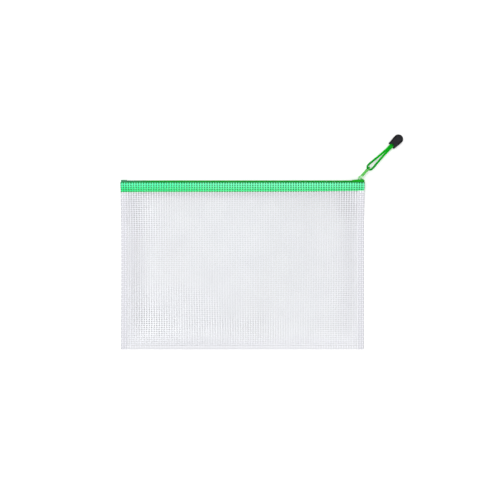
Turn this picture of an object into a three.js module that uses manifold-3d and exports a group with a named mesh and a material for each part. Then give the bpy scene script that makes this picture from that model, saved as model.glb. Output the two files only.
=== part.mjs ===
// Mesh zipper pouch lying flat on its back, millimetres, +Z up.
// X runs along the zip, Y runs from the bottom seam to the zip, the origin is
// the middle of the face that the pouch lies on.

import * as THREE from "three";
import { mergeVertices } from "three/addons/utils/BufferGeometryUtils.js";
import Module from "manifold-3d";

const wasm = await Module();
wasm.setup();

// Pouch
const pouchWidth = 340;
const pouchHeight = 236;
const sheetThickness = 0.45;
const sideWeld = 8;
const bottomWeld = 5;
const weldGap = 0.1; // kept between the two sheets where they are welded
const sideFlare = 38; // width over which a side seam opens to the full depth
const cornerRise = 60; // length over which a side seam climbs to the zip
const climbShare = 0.85; // share of that length after which the seam is level with the zip
const hemLead = 9; // below the tapes' hem, where a side seam starts to thicken for them
const hemThick = 1; // below the hem, where it has room for both tapes
const cornerGrip = 0.8; // above the hem, where the seam starts to open round the zip
const bellyShare = 0.5; // share of the front sheet's rise that is the belly over the bottom seam
const bellyReach = 0.35; // share of the height that the belly takes
const slopePower = 1.6; // how late the rest of the rise comes

// Zip tapes, folded down behind the sheets
const tapeThickness = 0.6;
const tapeWelded = 14.2; // folded part, welded to the sheet
const tapeHalfWidth = 4.9; // from the middle of the zip to the outside of the fold
const tapeEdge = 0.85; // from the middle of the zip to the tape's inner edge
const tapeFold = 0.9; // radius outside the fold
const seatGap = 0.15; // between a tape and the sheet that it is welded to
const tapePlain = 2.6; // height under the fold where the tapes stay parallel
const turnedInset = 0.05; // from the pouch edge to the tapes' turned ends

// Coil chain, one row of teeth on each tape
const coilPitch = 1.5;
const coilThickness = 2.3;
const coilHalfWidth = 2.9;
const coilSpine = 1.2;
const toothReach = 0.75; // how far a tooth goes past the middle
const toothRoot = 0.6;
const toothTip = 0.5;
const stitchGap = 0.05; // between a coil and its tape

// Slider
const sliderLength = 16.2;
const sliderPlate = 1.5; // at the bail
const plateTaper = 0.085; // by which the outer plate thickens per millimetre towards its nose
const sliderInnerPlate = 1.3;
const sliderWall = 0.75;
const thinnestWall = 0.2; // where a wall ends at the plate's rounded corner
const sliderClearance = 0.25;
const sliderCorner = 1.3;
const plateRounding = 0.45;
const innerPlateSpread = 0.4; // share of the outer plate's widening that the inner plate has
const sliderSpread = 1.5; // how far each row is pushed aside at the nose
const wedgeHalf = 0.6;
const wedgeLength = 4.2;
const wedgeSet = 0.8; // from the nose to the wedge
const spreadFromTail = 6.7; // from the tail to where the rows start to part
const spreadFromNose = 2.5; // from the nose to where they run straight again
const bailInner = 1.9;
const bailOuter = 2.8;
const bailWidth = 2;
const bailAxisHeight = 2.25; // over the outer plate
const bailOffset = 11.3; // from the slider's tail

// Stops at the chain's ends, moulded over the teeth
const topStopLength = 0.9;
const bottomStopLength = 8;
const stopHeight = 3.2;
const stopHalfWidth = 3.4;
const stopChamfer = 0.35;
const stopGap = 0.3;
const stopEdge = 0.6; // from the pouch edge to the bottom stop

// Pull tab
const tabThickness = 1.4;
const tabHalfWidth = 3.2;
const tabWaist = 2.9;
const tabReach = 17.2; // from the bail's bar to the eye
const tabEye = 2.55;
const tabBar = 1.4;
const tabWindow = 2.9;
const tabWindowHalf = 2.2;
const tabTwist = 26; // degrees that the tab rolls in its bail
const tabBevel = 0.2;
const tabCorner = 0.8;
const tabAngle = 47.5; // degrees from the zip's line
const cordTurn = 3; // degrees by which the cord lies flatter than the tab

// Cord loop and grip
const cordDiameter = 2.8;
const cordSides = 8;
const cordSteps = 60;
const gripStart = 44.9; // from the tab's eye
const gripLength = 20.8;
const gripMouthHalf = 5.6;
const gripHalfWidth = 6.6;
const gripThickness = 7.4;
const gripEdge = 0.9;
const gripSquareness = 0.7; // 1 gives an oval section, less a squarer one
const gripTaper = 0.6; // how late the grip thins towards its round end
const cavityHalfWidth = 4.2;
const cavityHeight = 4.6;
const cavityDepth = 11.6;
const knotLength = 6.4;
const knotGap = 0.3;
const floorGap = 0.15; // under the grip's far end

// Half of the cord's loop, from the tab's eye to the knot: along the pull, and aside from its axis.
const loopRoute = [
  [0, 0],
  [0.3, 2],
  [1.9, 3.45],
  [5, 3.8],
  [9.5, 3.5],
  [14, 3.05],
  [19, 2.6],
  [24, 2.15],
  [30, 1.7],
  [36, 1.5],
  [43, 1.5],
  [49.6, 1.5],
];

// Colours from the photo
const filmWhite = 0xe4e6ea;
const tapeGreen = 0x4fe08a;
const coilGreen = 0x2da65a;
const sliderGreen = 0x16a52a;
const tabGreen = 0x6cc058;
const cordGreen = 0x14b31c;
const gripBlack = 0x2b2b2d;

// Derived places
const rightEdge = pouchWidth / 2;
const bottomEdge = -pouchHeight / 2;
const chainFace = pouchHeight / 2;
const coilSeat = chainFace - coilThickness;
const tapeTop = coilSeat - stitchGap;
const tapeUnder = tapeTop - tapeThickness;
const tapeHem = tapeTop - tapeWelded;
const sheetTop = tapeUnder;
const plainHeight = tapeTop - tapePlain;
const sheetHalfGap = tapeHalfWidth + seatGap;
const zipHeight = sheetThickness + sheetHalfGap;
const flatHalfGap = weldGap / 2;
const flatHeight = sheetThickness + flatHalfGap;
const pinchedHalfGap = flatHalfGap + tapeThickness + seatGap;
const seamInside = rightEdge - sideWeld;
const bottomSeamTop = bottomEdge + bottomWeld;

const sliderNose = rightEdge - topStopLength - stopGap;
const sliderTail = sliderNose - sliderLength;
const plateUnder = chainFace + sliderClearance;
const plateTop = plateUnder + sliderPlate;
const innerPlateTop = tapeUnder - sliderClearance;
const bailX = sliderTail + bailOffset;
const bailY = plateTop + bailAxisHeight;
const wedgeNose = sliderNose - wedgeSet;
const spreadStart = sliderTail + spreadFromTail;
const spreadEnd = sliderNose - spreadFromNose;
const chainLeft = -rightEdge + stopEdge + bottomStopLength + stopGap;
const chainRight = sliderNose;

const degrees = Math.PI / 180;
const quarterTurn = Math.PI / 2;
const gripEnd = gripStart + gripLength;
const pullSag = Math.asin((zipHeight - gripThickness / 2 - floorGap) / gripEnd);

function smooth(value) {
  const t = Math.min(1, Math.max(0, value));
  return t * t * (3 - 2 * t);
}

function mix(a, b, t) {
  return a + (b - a) * t;
}

// How far a side seam has opened at x: 0 in the weld, 1 in the pouch's middle.
function openness(x) {
  return smooth((seamInside - Math.abs(x)) / sideFlare);
}

// Height of the middle of a side seam, which lies on the table and climbs to the zip.
function seamHeight(y) {
  const start = plainHeight - cornerRise;
  return mix(flatHeight, zipHeight, smooth((y - start) / (cornerRise * climbShare)));
}

// Half the space between the sheets along a side seam, tapes included.
function seamHalfGap(y) {
  const overTape = smooth((y - tapeHem + hemLead) / (hemLead - hemThick));
  const overZip = smooth((y - tapeHem - cornerGrip) / (plainHeight - tapeHem - cornerGrip));
  return mix(mix(flatHalfGap, pinchedHalfGap, overTape), sheetHalfGap, overZip);
}

// Underside of the front sheet along the pouch's middle.
function bellyHeight(y) {
  const share = Math.min(1, Math.max(0, (y - bottomSeamTop) / (tapeHem - bottomSeamTop)));
  const rise = bellyShare * smooth(share / bellyReach) + (1 - bellyShare) * share ** slopePower;
  return mix(sheetThickness + weldGap, zipHeight + sheetHalfGap, rise);
}

function frontInside(x, y) {
  return mix(seamHeight(y) + seamHalfGap(y), bellyHeight(y), openness(x));
}

function backInside(x, y) {
  return mix(seamHeight(y) - seamHalfGap(y), sheetThickness, openness(x));
}

// Grid lines across the pouch, closest where the seams open.
function linesAcross() {
  const half = [0];
  const flatHalf = seamInside - sideFlare;
  for (let i = 1; i <= 2; i += 1) half.push((flatHalf * i) / 2);
  for (let i = 1; i <= 4; i += 1) half.push(flatHalf + (sideFlare * i) / 4);
  half.push(rightEdge);
  const left = half.slice(1).reverse();
  return [...left.map((x) => -x), ...half];
}

// Grid lines over the tapes, shared by the sheets so that their faces run parallel.
function linesOverTape() {
  const lines = [];
  const count = 6;
  for (let i = 0; i <= count; i += 1) lines.push(mix(tapeHem, plainHeight, i / count));
  return lines;
}

// Grid lines from the bottom edge to the zip.
function linesUp() {
  const lines = [bottomEdge, bottomSeamTop];
  const bellyTop = mix(bottomSeamTop, tapeHem, bellyReach);
  for (let i = 1; i <= 4; i += 1) lines.push(mix(bottomSeamTop, bellyTop, i / 4));
  for (let i = 1; i <= 7; i += 1) lines.push(mix(bellyTop, tapeHem - hemLead, i / 7));
  lines.push(tapeHem - hemLead / 2);
  return [...lines, ...linesOverTape(), sheetTop];
}

// A closed body through a row of sections with equal counts of points.
function loft(sections) {
  const count = sections[0].length;
  const index = [];
  for (let i = 0; i < sections.length - 1; i += 1) {
    for (let j = 0; j < count; j += 1) {
      const next = (j + 1) % count;
      const [a, b] = [i * count + j, i * count + next];
      const [c, d] = [b + count, a + count];
      const rising = sections[i][j].distanceTo(sections[i + 1][next]);
      const falling = sections[i][next].distanceTo(sections[i + 1][j]);
      if (rising <= falling) index.push(a, b, c, a, c, d);
      else index.push(a, b, d, b, c, d);
    }
  }
  const last = (sections.length - 1) * count;
  for (const [a, b, c] of capFaces(sections[0])) index.push(a, c, b);
  for (const [a, b, c] of capFaces(sections.at(-1))) index.push(last + a, last + b, last + c);
  const geometry = new THREE.BufferGeometry();
  const positions = sections.flat().flatMap((p) => [p.x, p.y, p.z]);
  geometry.setAttribute("position", new THREE.Float32BufferAttribute(positions, 3));
  geometry.setIndex(index);
  return facingOut(geometry);
}

// Triangles over one flat section, wound the way its points run.
function capFaces(section) {
  const normal = new THREE.Vector3();
  section.forEach((p, i) => normal.add(p.clone().cross(section[(i + 1) % section.length])));
  const size = { x: Math.abs(normal.x), y: Math.abs(normal.y), z: Math.abs(normal.z) };
  let keys = ["x", "y"];
  if (size.x >= size.y && size.x >= size.z) keys = ["y", "z"];
  else if (size.y >= size.z) keys = ["z", "x"];
  const flat = section.map((p) => new THREE.Vector2(p[keys[0]], p[keys[1]]));
  const faces = THREE.ShapeUtils.triangulateShape(flat, []);
  return THREE.ShapeUtils.isClockWise(flat) ? faces.map(([a, b, c]) => [a, c, b]) : faces;
}

// The signed volume tells whether the triangles face out.
function facingOut(geometry) {
  const position = geometry.getAttribute("position");
  const index = geometry.getIndex().array;
  const corner = (i) => new THREE.Vector3().fromBufferAttribute(position, index[i]);
  let volume = 0;
  for (let i = 0; i < index.length; i += 3) volume += corner(i).dot(corner(i + 1).cross(corner(i + 2)));
  if (volume < 0) {
    for (let i = 0; i < index.length; i += 3) [index[i + 1], index[i + 2]] = [index[i + 2], index[i + 1]];
  }
  return geometry;
}

function toSolid(geometry) {
  const bare = geometry.clone();
  bare.deleteAttribute("normal");
  bare.deleteAttribute("uv");
  const merged = mergeVertices(bare, 1e-4);
  const vertProperties = new Float32Array(merged.getAttribute("position").array);
  const triVerts = new Uint32Array(merged.getIndex().array);
  return new wasm.Manifold(new wasm.Mesh({ numProp: 3, vertProperties, triVerts }));
}

function fromSolid(solid) {
  const mesh = solid.getMesh();
  const geometry = new THREE.BufferGeometry();
  geometry.setAttribute("position", new THREE.Float32BufferAttribute(mesh.vertProperties, 3));
  geometry.setIndex(Array.from(mesh.triVerts));
  return geometry;
}

function joined(geometries) {
  return fromSolid(geometries.map(toSolid).reduce((all, next) => all.add(next)));
}

function outlineShape(points) {
  return new THREE.Shape(points.map(([x, y]) => new THREE.Vector2(x, y)));
}

// A flat piece of the chain or slider: its outline runs along the zip and across it.
function slab(outline, low, high) {
  const settings = { depth: high - low, bevelEnabled: false };
  const geometry = new THREE.ExtrudeGeometry(outlineShape(outline), settings);
  geometry.rotateX(Math.PI / 2);
  geometry.translate(0, high, zipHeight);
  return geometry;
}

// A sheet between two height fields, with one section at each line across.
function sheetGeometry(lower, upper) {
  const ys = linesUp();
  const sections = linesAcross().map((x) => {
    const below = ys.map((y) => new THREE.Vector3(x, y, lower(x, y)));
    const above = ys.map((y) => new THREE.Vector3(x, y, upper(x, y)));
    return [...below, ...above.reverse()];
  });
  return loft(sections);
}

// A tape lies over the chain's width, turns down and follows the inside of its sheet to its hem.
function tapeGeometry(side, sheetInside) {
  const foldSteps = 3;
  const foldReach = tapeHalfWidth - tapeFold;
  const foldTurns = Array.from({ length: foldSteps + 1 }, (_, i) => (quarterTurn * i) / foldSteps);
  const innerFold = tapeFold - tapeThickness;
  const innerFace = seatGap + tapeThickness;
  const down = linesOverTape().reverse();
  const sections = linesAcross().map((x) => {
    const place = (y, across) => new THREE.Vector3(x, y, zipHeight + side * across);
    const bend = (radius) =>
      foldTurns.map((turn) => {
        const y = tapeTop - tapeFold + radius * Math.cos(turn);
        return place(y, foldReach + radius * Math.sin(turn));
      });
    const hanging = (depth) => down.map((y) => new THREE.Vector3(x, y, sheetInside(x, y) - side * depth));
    const outside = [place(tapeTop, tapeEdge), ...bend(tapeFold), ...hanging(seatGap)];
    const inside = [place(tapeUnder, tapeEdge), ...bend(innerFold), ...hanging(innerFace)];
    return [...outside, ...inside.reverse()];
  });
  const outer = rightEdge - turnedInset;
  const inner = outer - tapeThickness;
  const ends = [
    [-outer, -inner],
    [inner, outer],
  ];
  const turnedEnds = ends.map(([from, to]) => turnedEndGeometry(side, sheetInside, from, to));
  return joined([loft(sections), ...turnedEnds]);
}

// A tape's end is turned in under the chain and closes its half of the band's end.
function turnedEndGeometry(side, sheetInside, from, to) {
  const ys = linesOverTape();
  const halfTape = tapeThickness / 2;
  const sections = [from, to].map((x) => {
    const place = (y, across) => new THREE.Vector3(x, y, zipHeight + side * across);
    const inTape = (y) => new THREE.Vector3(x, y, sheetInside(x, y) - side * (seatGap + halfTape));
    const atMiddle = (y) => new THREE.Vector3(x, y, seamHeight(y) + side * flatHalfGap);
    return [
      ...ys.map(inTape),
      place(tapeTop - tapeFold, tapeHalfWidth - halfTape),
      place(tapeUnder + halfTape, tapeHalfWidth - tapeFold),
      place(tapeUnder + halfTape, tapeEdge),
      place(tapeUnder, flatHalfGap),
      ...ys.map(atMiddle).reverse(),
    ];
  });
  return loft(sections);
}

// How far the slider has pushed each row of teeth from the middle.
function spread(x) {
  return sliderSpread * smooth((x - spreadStart) / (spreadEnd - spreadStart));
}

// One row of teeth. The rows are half a pitch apart, so each tooth stands between two of the other row.
function coilGeometry(side, offset) {
  const toothFoot = coilHalfWidth - coilSpine;
  const at = (x, across) => [x, side * (across + spread(x))];
  const outline = [at(chainLeft, toothFoot)];
  for (let x = chainLeft + coilPitch / 2 + offset; x < chainRight - toothRoot; x += coilPitch) {
    outline.push(at(x - toothRoot / 2, toothFoot), at(x - toothTip / 2, -toothReach));
    outline.push(at(x + toothTip / 2, -toothReach), at(x + toothRoot / 2, toothFoot));
  }
  outline.push(at(chainRight, toothFoot));
  const spineSteps = 8;
  for (let i = 0; i <= spineSteps; i += 1) {
    outline.push(at(mix(chainRight, spreadStart, i / spineSteps), coilHalfWidth));
  }
  outline.push(at(chainLeft, coilHalfWidth));
  return slab(outline, coilSeat, chainFace);
}

// Half a pointed or rounded outline along the zip is mirrored to the other side.
function mirrored(half) {
  return [...half, ...[...half].reverse().map(([x, across]) => [x, -across])];
}

// Distance by which a corner's round draws the outline in.
function cornerInset(distance) {
  if (distance >= sliderCorner) return 0;
  return sliderCorner - Math.sqrt(sliderCorner ** 2 - (sliderCorner - distance) ** 2);
}

// Distances from the slider's tail at which its outline has points.
function sliderStations() {
  const cornerSteps = 4;
  const sideSteps = 9;
  const corner = [];
  const side = [];
  for (let i = 0; i <= cornerSteps; i += 1) {
    corner.push(sliderCorner * (1 - Math.cos((quarterTurn * i) / cornerSteps)));
  }
  for (let i = 1; i < sideSteps; i += 1) {
    side.push(mix(sliderCorner, sliderLength - sliderCorner, i / sideSteps));
  }
  const nose = [...corner].reverse().map((distance) => sliderLength - distance);
  return [...corner, ...side, ...nose];
}

// Half outline of a plate whose sides stand off the teeth by the given distance.
function plateHalf(standOff, share) {
  return sliderStations().map((distance) => {
    const x = sliderTail + distance;
    const inset = Math.max(cornerInset(distance), cornerInset(sliderLength - distance));
    return [x, coilHalfWidth + standOff + share * spread(x) - inset];
  });
}

// The wall that guides one row, under the outer plate's edge.
function sliderWallOutline(side) {
  const track = (x) => coilHalfWidth + sliderClearance + spread(x);
  const outline = plateHalf(sliderClearance + sliderWall, 1);
  const outer = outline.filter(([x, across]) => across > track(x) + thinnestWall);
  const inner = outer.map(([x]) => [x, track(x)]).reverse();
  return [...outer, ...inner].map(([x, across]) => [x, side * across]);
}

// The wedge that parts the rows: a point towards the tail and a round nose.
function wedgeOutline() {
  const steps = 4;
  const tip = 0.08;
  const half = [[wedgeNose - wedgeLength, tip]];
  for (let i = 0; i < steps; i += 1) {
    const turn = (quarterTurn * i) / steps;
    half.push([wedgeNose - wedgeHalf + wedgeHalf * Math.sin(turn), wedgeHalf * Math.cos(turn)]);
  }
  half.push([wedgeNose, tip]);
  return mirrored(half);
}

// The arch that the pull tab hangs in, cut from a plate that stands along the zip.
function bailGeometry() {
  const steps = 12;
  const foot = (plateTop + plateUnder) / 2;
  const arc = (radius) =>
    Array.from({ length: steps + 1 }, (_, i) => {
      const turn = (Math.PI * i) / steps;
      return [bailX + radius * Math.cos(turn), bailY + radius * Math.sin(turn)];
    });
  const outline = [
    [bailX + bailOuter, foot],
    ...arc(bailOuter),
    [bailX - bailOuter, foot],
    [bailX - bailInner, foot],
    ...arc(bailInner).reverse(),
    [bailX + bailInner, foot],
  ];
  const settings = { depth: bailWidth, bevelEnabled: false };
  const geometry = new THREE.ExtrudeGeometry(outlineShape(outline), settings);
  geometry.translate(0, 0, zipHeight - bailWidth / 2);
  return geometry;
}

// Thickness of the outer plate, which is a thin edge at the tail and thick but rounded at the nose.
function plateThickness(x) {
  const nearNose = cornerInset(sliderNose - x);
  return sliderPlate + plateTaper * (x - bailX) - nearNose;
}

// The outer plate, with one section at each place along it and its upper edges rounded off.
function outerPlateGeometry() {
  const sections = plateHalf(sliderClearance + sliderWall, 1).map(([x, across]) => {
    const top = plateUnder + plateThickness(x);
    const rounding = Math.min(plateRounding, plateThickness(x) / 2);
    const profile = [
      [plateUnder, -across],
      [top - rounding, -across],
      [top, -across + plateRounding],
      [top, across - plateRounding],
      [top - rounding, across],
      [plateUnder, across],
    ];
    return profile.map(([y, z]) => new THREE.Vector3(x, y, zipHeight + z));
  });
  return loft(sections);
}

// Two plates held apart by the wedge, with the walls and the bail on the outer one.
function sliderGeometry() {
  const overlap = 0.3; // so that the joined parts run into each other
  const innerOutline = mirrored(plateHalf(sliderClearance, innerPlateSpread));
  const wallFoot = tapeTop + sliderClearance;
  const walls = [1, -1].map((side) => slab(sliderWallOutline(side), wallFoot, plateUnder + overlap));
  const wedge = slab(wedgeOutline(), innerPlateTop - overlap, plateUnder + overlap);
  const innerPlate = slab(innerOutline, innerPlateTop - sliderInnerPlate, innerPlateTop);
  return joined([outerPlateGeometry(), ...walls, wedge, innerPlate, bailGeometry()]);
}

// A moulded stop on the chain's end, between two places across the zip.
function stopGeometry(left, right, from, to) {
  const outline = [
    [left, from + stopChamfer],
    [left + stopChamfer, from],
    [right - stopChamfer, from],
    [right, from + stopChamfer],
    [right, to - stopChamfer],
    [right - stopChamfer, to],
    [left + stopChamfer, to],
    [left, to - stopChamfer],
  ];
  return slab(outline, tapeTop + stitchGap, tapeTop + stitchGap + stopHeight);
}

// The tab lies along X from its bar, with its width along Z, before it is turned to the pull's line.
function tabGeometry() {
  const shape = new THREE.Shape();
  const corner = tabCorner;
  const back = -tabBar / 2;
  shape.moveTo(back + corner, -tabHalfWidth);
  shape.quadraticCurveTo(tabReach / 2, -2 * tabWaist + tabHalfWidth, tabReach, -tabHalfWidth);
  shape.absarc(tabReach, 0, tabHalfWidth, -Math.PI / 2, Math.PI / 2, false);
  shape.quadraticCurveTo(tabReach / 2, 2 * tabWaist - tabHalfWidth, back + corner, tabHalfWidth);
  shape.lineTo(back, tabHalfWidth - corner);
  shape.lineTo(back, -tabHalfWidth + corner);
  const eye = new THREE.Path().absarc(tabReach, 0, tabEye, 0, 2 * Math.PI, true);
  const windowNear = tabBar / 2 + tabBevel;
  const windowFar = windowNear + tabWindow;
  const half = tabWindowHalf;
  const window = new THREE.Path([
    new THREE.Vector2(windowNear, -half),
    new THREE.Vector2(windowNear, half),
    new THREE.Vector2(windowFar, half),
    new THREE.Vector2(windowFar, -half),
  ]);
  shape.holes.push(eye, window);
  const geometry = new THREE.ExtrudeGeometry(shape, {
    depth: tabThickness - 2 * tabBevel,
    bevelThickness: tabBevel,
    bevelSize: tabBevel,
    bevelOffset: -tabBevel,
    bevelSegments: 1,
    curveSegments: 10,
  });
  geometry.translate(0, 0, -tabThickness / 2 + tabBevel);
  geometry.rotateX(Math.PI / 2);
  return geometry;
}

// The cord runs from the knot round the tab's eye and back, in one piece.
function cordGeometry() {
  const near = loopRoute.slice(1).reverse();
  const points = [
    ...near.map(([along, aside]) => new THREE.Vector3(along, -aside, 0)),
    ...loopRoute.map(([along, aside]) => new THREE.Vector3(along, aside, 0)),
  ];
  const radius = cordDiameter / 2;
  const section = Array.from({ length: cordSides }, (_, i) => {
    const turn = (2 * Math.PI * (i + 0.5)) / cordSides;
    return new THREE.Vector2(radius * Math.cos(turn), radius * Math.sin(turn));
  });
  const path = new THREE.CatmullRomCurve3(points);
  return new THREE.ExtrudeGeometry(new THREE.Shape(section), {
    steps: cordSteps,
    extrudePath: path,
    bevelEnabled: false,
  });
}

// An upright oval with flattened sides, across the pull.
function ovalSection(along, halfWidth, halfHeight, steps) {
  return Array.from({ length: steps }, (_, i) => {
    const turn = (2 * Math.PI * i) / steps;
    const round = (value) => Math.sign(value) * Math.abs(value) ** gripSquareness;
    return new THREE.Vector3(along, halfWidth * round(Math.cos(turn)), halfHeight * round(Math.sin(turn)));
  });
}

// The moulded grip widens from its mouth, ends round, and is hollow for the knot.
function gripGeometry() {
  const sides = 26;
  const bodySteps = 4;
  const domeSteps = 6;
  const domeTurn = 0.94 * quarterTurn; // leaves a small flat at the round end
  const halfHeight = gripThickness / 2;
  const domeStart = gripLength - gripHalfWidth;
  const sizes = [[0, gripMouthHalf - gripEdge, halfHeight - gripEdge]];
  for (let i = 0; i <= bodySteps; i += 1) {
    const share = i / bodySteps;
    const width = mix(gripMouthHalf, gripHalfWidth, smooth(share));
    sizes.push([mix(gripEdge, domeStart, share), width, halfHeight]);
  }
  for (let i = 1; i <= domeSteps; i += 1) {
    const turn = (domeTurn * i) / domeSteps;
    const dome = Math.cos(turn);
    const along = domeStart + gripHalfWidth * Math.sin(turn);
    sizes.push([along, gripHalfWidth * dome, halfHeight * dome ** gripTaper]);
  }
  const ring = ([along, width, height]) => ovalSection(gripStart + along, width, height, sides);
  const body = loft(sizes.map(ring));
  const cavityEnds = [-gripEdge, cavityDepth];
  const cavity = loft(cavityEnds.map((along) => ring([along, cavityHalfWidth, cavityHeight / 2])));
  return fromSolid(toSolid(body).subtract(toSolid(cavity)));
}

// The knot fills the grip's hollow.
function knotGeometry() {
  const geometry = new THREE.SphereGeometry(1, 14, 10);
  geometry.rotateZ(Math.PI / 2);
  geometry.scale(knotLength / 2, cavityHalfWidth - knotGap, cavityHeight / 2 - knotGap);
  geometry.translate(gripStart + cavityDepth - knotGap - knotLength / 2, 0, 0);
  return geometry;
}

const materials = {
  film: { color: filmWhite, roughness: 0.35, metalness: 0 },
  tape: { color: tapeGreen, roughness: 0.85, metalness: 0 },
  coil: { color: coilGreen, roughness: 0.45, metalness: 0 },
  slider: { color: sliderGreen, roughness: 0.4, metalness: 0.3 },
  tab: { color: tabGreen, roughness: 0.4, metalness: 0.3 },
  cord: { color: cordGreen, roughness: 0.8, metalness: 0 },
  grip: { color: gripBlack, roughness: 0.55, metalness: 0 },
};

function piece(name, geometry, material) {
  const mesh = new THREE.Mesh(geometry, new THREE.MeshStandardMaterial(materials[material]));
  mesh.name = name;
  return mesh;
}

function pouch() {
  const frontOutside = (x, y) => frontInside(x, y) + sheetThickness;
  const backOutside = (x, y) => backInside(x, y) - sheetThickness;
  return [
    piece("front_sheet", sheetGeometry(frontInside, frontOutside), "film"),
    piece("back_sheet", sheetGeometry(backOutside, backInside), "film"),
  ];
}

function zip() {
  const stopLeft = -rightEdge + stopEdge;
  const topStopLeft = sliderNose + stopGap;
  const topStopRight = topStopLeft + topStopLength;
  const inner = wedgeHalf + stopGap;
  const topStop = (side) => {
    const reach = [side * inner, side * (stopHalfWidth + sliderSpread / 2)].sort((a, b) => a - b);
    return stopGeometry(topStopLeft, topStopRight, ...reach);
  };
  return [
    piece("front_tape", tapeGeometry(1, frontInside), "tape"),
    piece("back_tape", tapeGeometry(-1, backInside), "tape"),
    piece("front_coil", coilGeometry(1, 0), "coil"),
    piece("back_coil", coilGeometry(-1, coilPitch / 2), "coil"),
    piece("front_top_stop", topStop(1), "coil"),
    piece("back_top_stop", topStop(-1), "coil"),
    piece(
      "bottom_stop",
      stopGeometry(stopLeft, stopLeft + bottomStopLength, -stopHalfWidth, stopHalfWidth),
      "coil"
    ),
  ];
}

// The tab hangs in the bail and the cord in the tab's eye, so each group turns about its own pivot.
function puller() {
  const tabGroup = new THREE.Group();
  tabGroup.position.set(bailX, bailY, zipHeight);
  tabGroup.rotation.z = tabAngle * degrees;
  const tab = piece("pull_tab", tabGeometry(), "tab");
  tab.rotation.x = tabTwist * degrees;
  const cordGroup = new THREE.Group();
  cordGroup.position.x = tabReach;
  cordGroup.rotation.y = pullSag;
  cordGroup.rotation.z = -cordTurn * degrees;
  cordGroup.add(
    piece("pull_cord", cordGeometry(), "cord"),
    piece("cord_knot", knotGeometry(), "cord"),
    piece("cord_grip", gripGeometry(), "grip")
  );
  tabGroup.add(tab, cordGroup);
  return tabGroup;
}

const group = new THREE.Group();
group.add(...pouch(), ...zip(), piece("slider_body", sliderGeometry(), "slider"), puller());

export default group;
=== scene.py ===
import math

import bpy
import numpy as np
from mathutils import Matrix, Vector


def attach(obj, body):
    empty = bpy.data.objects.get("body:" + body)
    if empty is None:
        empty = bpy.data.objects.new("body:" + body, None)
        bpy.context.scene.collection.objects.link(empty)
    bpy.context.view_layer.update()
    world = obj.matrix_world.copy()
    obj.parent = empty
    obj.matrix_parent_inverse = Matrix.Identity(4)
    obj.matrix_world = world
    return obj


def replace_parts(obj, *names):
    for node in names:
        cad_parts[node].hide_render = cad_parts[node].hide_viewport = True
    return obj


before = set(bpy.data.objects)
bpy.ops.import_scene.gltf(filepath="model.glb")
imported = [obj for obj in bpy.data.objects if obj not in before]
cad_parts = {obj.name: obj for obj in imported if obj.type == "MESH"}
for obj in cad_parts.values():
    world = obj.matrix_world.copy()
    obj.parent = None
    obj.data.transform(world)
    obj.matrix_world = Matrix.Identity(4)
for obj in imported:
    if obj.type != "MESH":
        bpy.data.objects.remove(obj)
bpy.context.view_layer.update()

mm = 0.001


class Wire:  # one output socket, with its arithmetic
    def __init__(self, shader, socket):
        self.shader, self.socket = shader, socket

    def maths(self, operation, *others):
        return self.shader.maths(operation, self, *others)

    def __add__(self, other):
        return self.maths("ADD", other)

    def __sub__(self, other):
        return self.maths("SUBTRACT", other)

    def __rsub__(self, other):
        return self.shader.maths("SUBTRACT", other, self)

    def __mul__(self, other):
        return self.maths("MULTIPLY", other)

    def __truediv__(self, other):
        return self.maths("DIVIDE", other)

    __radd__, __rmul__ = __add__, __mul__


class Shader:  # a material and the nodes in it
    def __init__(self, name, **constants):
        self.material = bpy.data.materials.new(name)
        self.material.use_nodes = True
        self.tree = self.material.node_tree
        self.tree.nodes.clear()
        self.surface = self.tree.nodes.new("ShaderNodeBsdfPrincipled")
        output = self.tree.nodes.new("ShaderNodeOutputMaterial")
        self.tree.links.new(self.surface.outputs["BSDF"], output.inputs["Surface"])
        self.put(self.surface, {key.replace("_", " "): value for key, value in constants.items()})

    def put(self, node, sockets):
        for key, value in sockets.items():
            if isinstance(key, int):
                place = node.inputs[key]
            else:
                place = [i for i in node.inputs if i.name == key and i.enabled][0]
            if isinstance(value, Wire):
                self.tree.links.new(value.socket, place)
            elif hasattr(value, "__len__") and len(place.default_value) == 4:
                place.default_value = (*value[:3], 1)
            else:
                place.default_value = value

    def coat(self, colour, roughness, normal, **others):
        self.put(self.surface, {"Base Color": colour, "Roughness": roughness, "Normal": normal, **others})

    def node(self, kind, settings=None, sockets=None):  # returns its outputs by name
        made = self.tree.nodes.new("ShaderNode" + kind)
        for key, value in (settings or {}).items():
            setattr(made, key, value)
        self.put(made, sockets or {})
        return {o.name: Wire(self, o) for o in made.outputs if o.enabled}

    def maths(self, operation, *values):
        return self.node("Math", {"operation": operation}, dict(enumerate(values)))["Value"]

    def place(self):  # the point in metres, then its x, y and z
        spot = self.node("TexCoord")["Object"]
        split = self.node("SeparateXYZ", None, {"Vector": spot})
        return spot, split["X"], split["Y"], split["Z"]

    def noise(self, spot, scale, detail=2, roughness=0.5):
        sockets = {"Vector": spot, "Scale": scale, "Detail": detail, "Roughness": roughness}
        return list(self.node("TexNoise", None, sockets).values())[0]

    def ramp(self, value, low, high):  # 0 below low, 1 above high
        sockets = {"Value": value, "From Min": low, "From Max": high}
        return self.node("MapRange", {"interpolation_type": "SMOOTHSTEP"}, sockets)["Result"]

    def tint(self, factor, first, second):
        sockets = {"Factor": factor, "A": first, "B": second}
        return self.node("Mix", {"data_type": "RGBA"}, sockets)["Result"]

    def bump(self, height, distance, strength):
        sockets = {"Height": height, "Distance": distance, "Strength": strength}
        return self.node("Bump", None, sockets)["Normal"]


def smooth(value):
    t = np.clip(value, 0, 1)
    return t * t * (3 - 2 * t)


def mix(a, b, t):  # t is a number or a wire
    return a + (b - a) * t


def blend(shares, first, *others):  # a sum of wires, each with its share
    total = first * shares[0]
    for share, wire in zip(shares[1:], others):
        total = total + wire * share
    return total


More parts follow.
